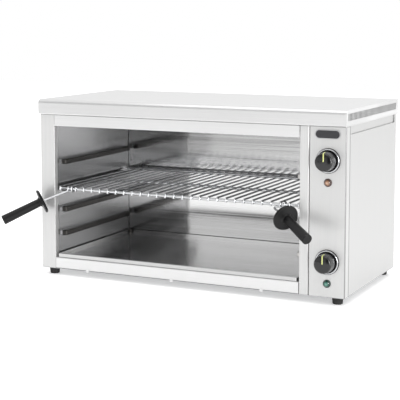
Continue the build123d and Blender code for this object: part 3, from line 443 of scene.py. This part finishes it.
# Leads: from the terminal block to the controls, lamps and heaters.
# Stranded wire in a glass-fibre sleeve, off-white with a fine woven fleck.
sleeve, tree = material("glass_fibre_sleeve")
weave = grain(tree, across_mm=0.7, along_mm=1.4, direction=ALONG_Z)
uneven(tree, weave, ((LOW, "BDB7AA"), (HIGH, "DAD5CA")), smooth=0.6, rough=0.75)
dress(sleeve, "leads")

# Floor: a wide roll of studio paper, laid flat under the grill.
# Matt white paper with a faint clouding; it glows a little, so that it meets the tent without a horizon.
FLOOR_HALF = 6.0
FLOOR_GLOW = 0.35
paper, tree = material("white_studio_paper")
pulp = grain(tree, across_mm=40.0, along_mm=40.0, direction=ALONG_X)
clouding = add(tree, "ShaderNodeValToRGB", stops=((LOW, "FAFAFA"), (HIGH, "FFFFFF")), Fac=pulp)
shade(
    tree,
    Base_Color=clouding.outputs["Color"],
    Roughness=0.9,
    Emission_Color=linear("FFFFFF"),
    Emission_Strength=FLOOR_GLOW,
)
floor_mesh = bpy.data.meshes.new("studio_floor")
floor_corners = [(x * FLOOR_HALF, y * FLOOR_HALF, 0.0) for x, y in ((-1, -1), (1, -1), (1, 1), (-1, 1))]
floor_mesh.from_pydata(floor_corners, [], [(0, 1, 2, 3)])
floor = bpy.data.objects.new("studio_floor", floor_mesh)
floor.data.materials.append(paper)
scene = bpy.context.scene
scene.collection.objects.link(floor)

# Studio light: a white tent all round, with one large soft box above.
# A second box at the right only shows as a streak in what is glossy.
scene.view_settings.view_transform = "Standard"
tent = bpy.data.worlds.new("white_tent")
tent.use_nodes = True
tent.node_tree.nodes["Background"].inputs["Color"].default_value = linear("FFFFFF")
tent.node_tree.nodes["Background"].inputs["Strength"].default_value = 1.0
scene.world = tent


def soft_box(name, place, aim, width, depth, watts):
    """Rectangular lamp that faces a point."""
    lamp = bpy.data.lights.new(name, "AREA")
    lamp.shape = "RECTANGLE"
    lamp.size = width
    lamp.size_y = depth
    lamp.energy = watts
    made = bpy.data.objects.new(name, lamp)
    made.location = place
    made.rotation_euler = (Vector(aim) - Vector(place)).to_track_quat("-Z", "Y").to_euler()
    scene.collection.objects.link(made)
    return made


soft_box("overhead_box", place=(0.0, -0.4, 2.6), aim=(0.0, 0.0, 0.2), width=2.4, depth=2.0, watts=18)
right_box = soft_box(
    "right_box", place=(1.6, -0.9, 0.4), aim=(0.3, 0.0, 0.2), width=0.7, depth=1.0, watts=28
)
right_box.visible_diffuse = False


# Reflection cards: upright cards in front of the grill, which only reflections show.
# Velvet gives the bright cavity its dark zone; grey felt tones the back wall and the lid's front.
def cloth(name, deep, pale):
    """Dull cloth, its nap drawn coarser than real."""
    made, tree = material(name)
    nap = grain(tree, across_mm=6.0, along_mm=6.0, direction=ALONG_X)
    tone = add(tree, "ShaderNodeValToRGB", stops=((LOW, deep), (HIGH, pale)), Fac=nap)
    shade(tree, Base_Color=tone.outputs["Color"], Roughness=0.95)
    return made


def card(name, covering, centre, facing, width, height):
    """Upright card that the camera and the soft light don't see."""
    half = Vector((-facing[1], facing[0], 0.0)).normalized() * (width / 2)
    rise = Vector((0.0, 0.0, height / 2))
    middle = Vector(centre)
    corners = [middle - half - rise, middle + half - rise, middle + half + rise, middle - half + rise]
    card_mesh = bpy.data.meshes.new(name)
    card_mesh.from_pydata([tuple(corner) for corner in corners], [], [(0, 1, 2, 3)])
    made = bpy.data.objects.new(name, card_mesh)
    made.data.materials.append(covering)
    made.visible_camera = False
    made.visible_diffuse = False
    made.visible_shadow = False
    scene.collection.objects.link(made)


velvet = cloth("black_velvet_card", deep="0A0A0A", pale="121212")
card("camera_flag", velvet, centre=(0.511, -1.390, 0.45), facing=(0.47, -0.883), width=0.42, height=0.9)
FRONT_LEFT = (-0.43, -0.9)
felt = cloth("grey_felt_card", deep="B4B4B4", pale="BEBEBE")
card("low_card", felt, centre=(-0.70, -1.68, 0.09), facing=FRONT_LEFT, width=0.46, height=0.18)
card("lid_card", felt, centre=(-0.42, -1.82, 0.23), facing=FRONT_LEFT, width=0.5, height=0.2)
slate = cloth("slate_felt_card", deep="8A8A8A", pale="949494")
card("low_slate", slate, centre=(-1.08, -1.5, 0.09), facing=FRONT_LEFT, width=0.4, height=0.18)
card("upper_card", slate, centre=(-0.9, -1.9, 1.5), facing=FRONT_LEFT, width=2.4, height=1.4)

# Camera: at the photograph's height and angle, fitted to the cabinet's straight edges.
# A long lens, shifted so that its axis meets the picture above the middle.
PIXELS = 400
FOCAL_PX = 1195.9
SENSOR_MM = 36.0
AXIS_ROW = 140
eye = Vector((1.1240, -2.3489, 0.5819))
sight = Vector((-0.4298, 0.8966, -0.1068))
lens = bpy.data.cameras.new("studio_camera")
lens.sensor_width = SENSOR_MM
lens.lens = FOCAL_PX / PIXELS * SENSOR_MM
lens.shift_y = (AXIS_ROW - PIXELS / 2) / PIXELS
camera = bpy.data.objects.new("studio_camera", lens)
camera.location = eye
camera.rotation_euler = sight.to_track_quat("-Z", "Y").to_euler()
scene.collection.objects.link(camera)
scene.camera = camera
